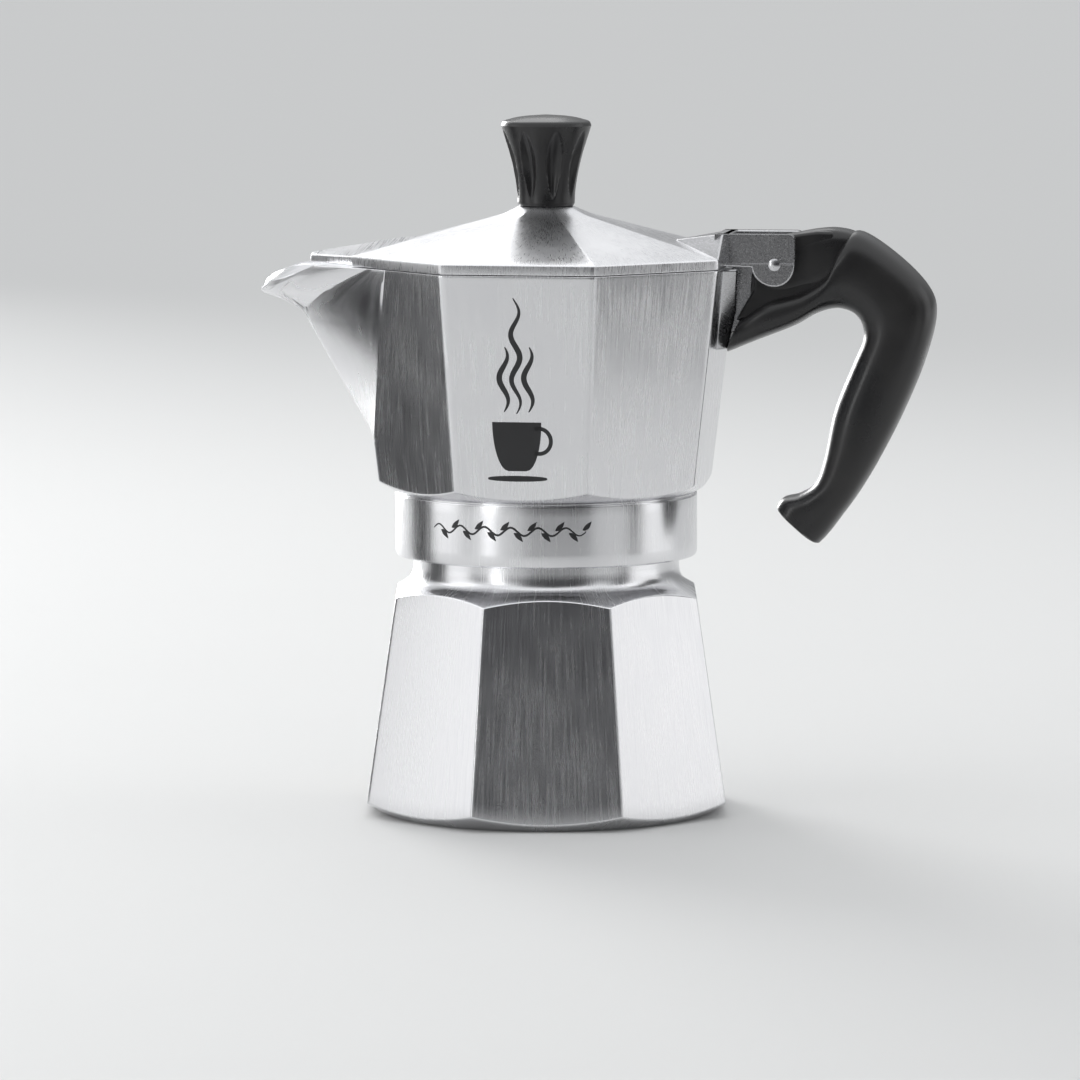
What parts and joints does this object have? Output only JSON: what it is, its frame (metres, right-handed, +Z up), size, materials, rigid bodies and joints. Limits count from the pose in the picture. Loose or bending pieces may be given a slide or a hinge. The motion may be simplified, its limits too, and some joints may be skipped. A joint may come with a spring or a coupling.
{
  "type": "moka pot",
  "caption": "Octagonal stove-top moka pot with screw-on collector, hinged lid, V spout, hooked handle, coffee funnel and safety valve.",
  "frame": {"origin": "centre of the flat foot under the boiler, on the surface that it stands on", "axes": "+Z up along the pot's axis, +X towards the handle, so the spout points along -X and +Y is across"},
  "size_m": [0.156, 0.0864, 0.16],
  "materials": {
    "boiler_cast": "brushed satin casting",
    "collector_cast": "brushed satin casting with a polished collar",
    "lid_cast": "brushed satin casting",
    "valve_brass": "machined",
    "spring_steel": "bright wire",
    "seal_rubber": "matte food rubber",
    "funnel_sheet": "pressed and drawn",
    "filter_sheet": "perforated sheet",
    "black_plastic": "satin moulded",
    "pin_steel": "bright"
  },
  "bodies": {
    "boiler_body": {"boiler": "boiler_cast", "valve_body": "valve_brass", "valve_washer": "seal_rubber", "valve_spring": "spring_steel", "valve_retainer": "valve_brass"},
    "valve_plunger": {"valve_stem": "valve_brass"},
    "funnel": {"funnel_basket": "funnel_sheet", "funnel_tube": "funnel_sheet", "funnel_screen": "funnel_sheet"},
    "seal": {"gasket": "seal_rubber", "filter_plate": "filter_sheet"},
    "pot_top": {"collector": "collector_cast", "coffee_column": "collector_cast", "handle": "black_plastic", "hinge_pin": "pin_steel"},
    "lid_body": {"lid": "lid_cast", "knob": "black_plastic", "knob_screw": "pin_steel", "knob_washer": "pin_steel"}
  },
  "joints": [
    {"name": "collector_turn", "type": "hinge", "parent": "seal", "child": "pot_top", "pos_m": [0, 0, 0.065], "axis": [0, 0, 1], "range_deg": [0, 720]},
    {"name": "collector_rise", "type": "slide", "parent": "boiler_body", "child": "seal", "axis": [0, 0, 1], "range_m": [0, 0.0071]},
    {"name": "funnel_lift", "type": "slide", "parent": "boiler_body", "child": "funnel", "axis": [0, 0, 1], "range_m": [0, 0.0036]},
    {"name": "lid_hinge", "type": "hinge", "parent": "pot_top", "child": "lid_body", "pos_m": [0.0538, 0, 0.1267], "axis": [0, 1, 0], "range_deg": [0, 100]},
    {"name": "valve_pop", "type": "slide", "parent": "boiler_body", "child": "valve_plunger", "axis": [-0.8009, 0.5819, 0.141], "range_m": [0, 0.0012], "stiffness_N_per_m": 4000, "springref_m": -0.001, "deforming": ["valve_spring"]}
  ],
  "couplings": [
    {"joint": "collector_rise", "follows": "collector_turn", "m_per_rad": 0.00055704},
    {"joint": "funnel_lift", "follows": "collector_turn", "m_per_rad": 0.00027852}
  ]
}
